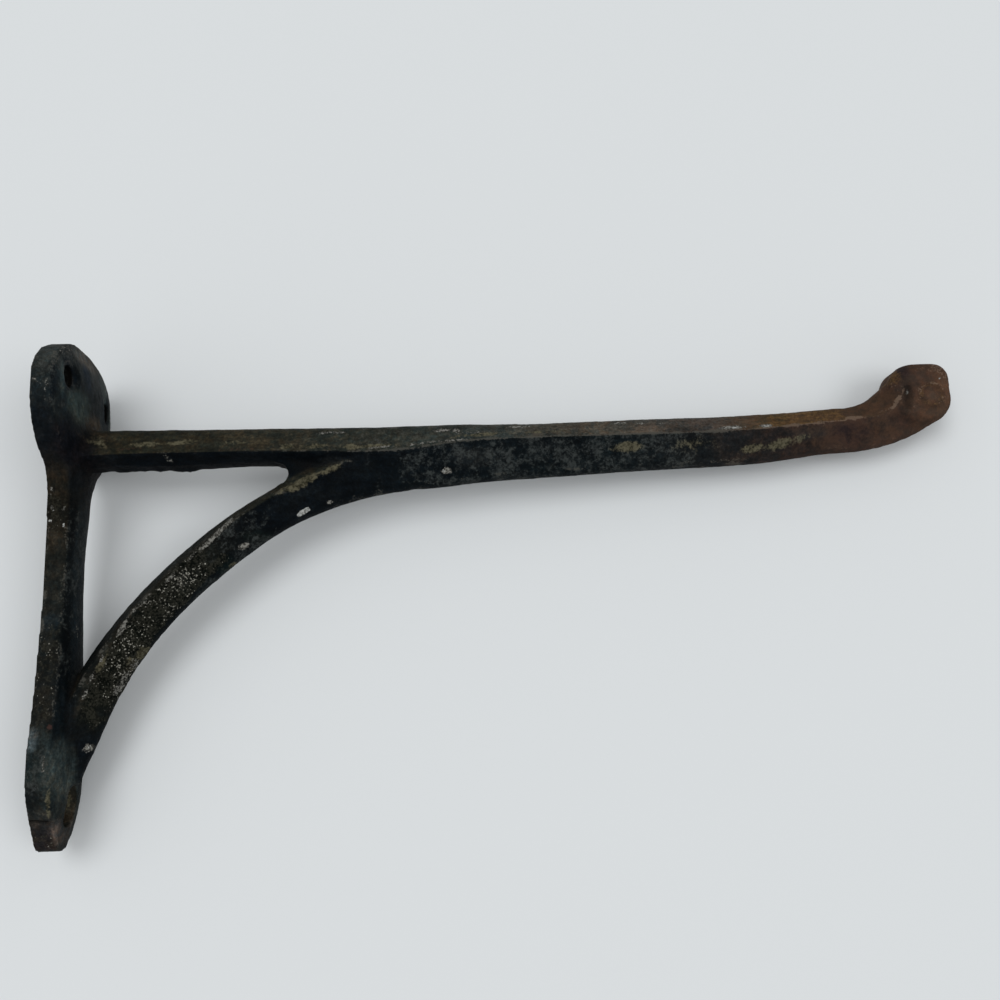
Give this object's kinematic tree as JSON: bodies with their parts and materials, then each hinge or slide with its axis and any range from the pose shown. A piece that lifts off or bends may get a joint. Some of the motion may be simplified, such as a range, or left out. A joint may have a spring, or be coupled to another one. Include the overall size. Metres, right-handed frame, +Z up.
{
  "type": "tack hook",
  "caption": "Cast-iron wall bracket hook for tack: a ridged arm on a curved brace, ending in an upturned rounded knob, with screw holes in the wall plate.",
  "frame": {"origin": "on the flat back face of the wall plate, on its centre line and about half way up it", "axes": "+X straight out from the wall along the arm, +Z up the wall, Y across the width"},
  "size_m": [0.298, 0.052, 0.1604],
  "materials": {
    "iron": "old black paint worn through on the edges, rust towards the knob"
  },
  "bodies": {
    "root": {"tack_hook": "iron"}
  },
  "joints": []
}
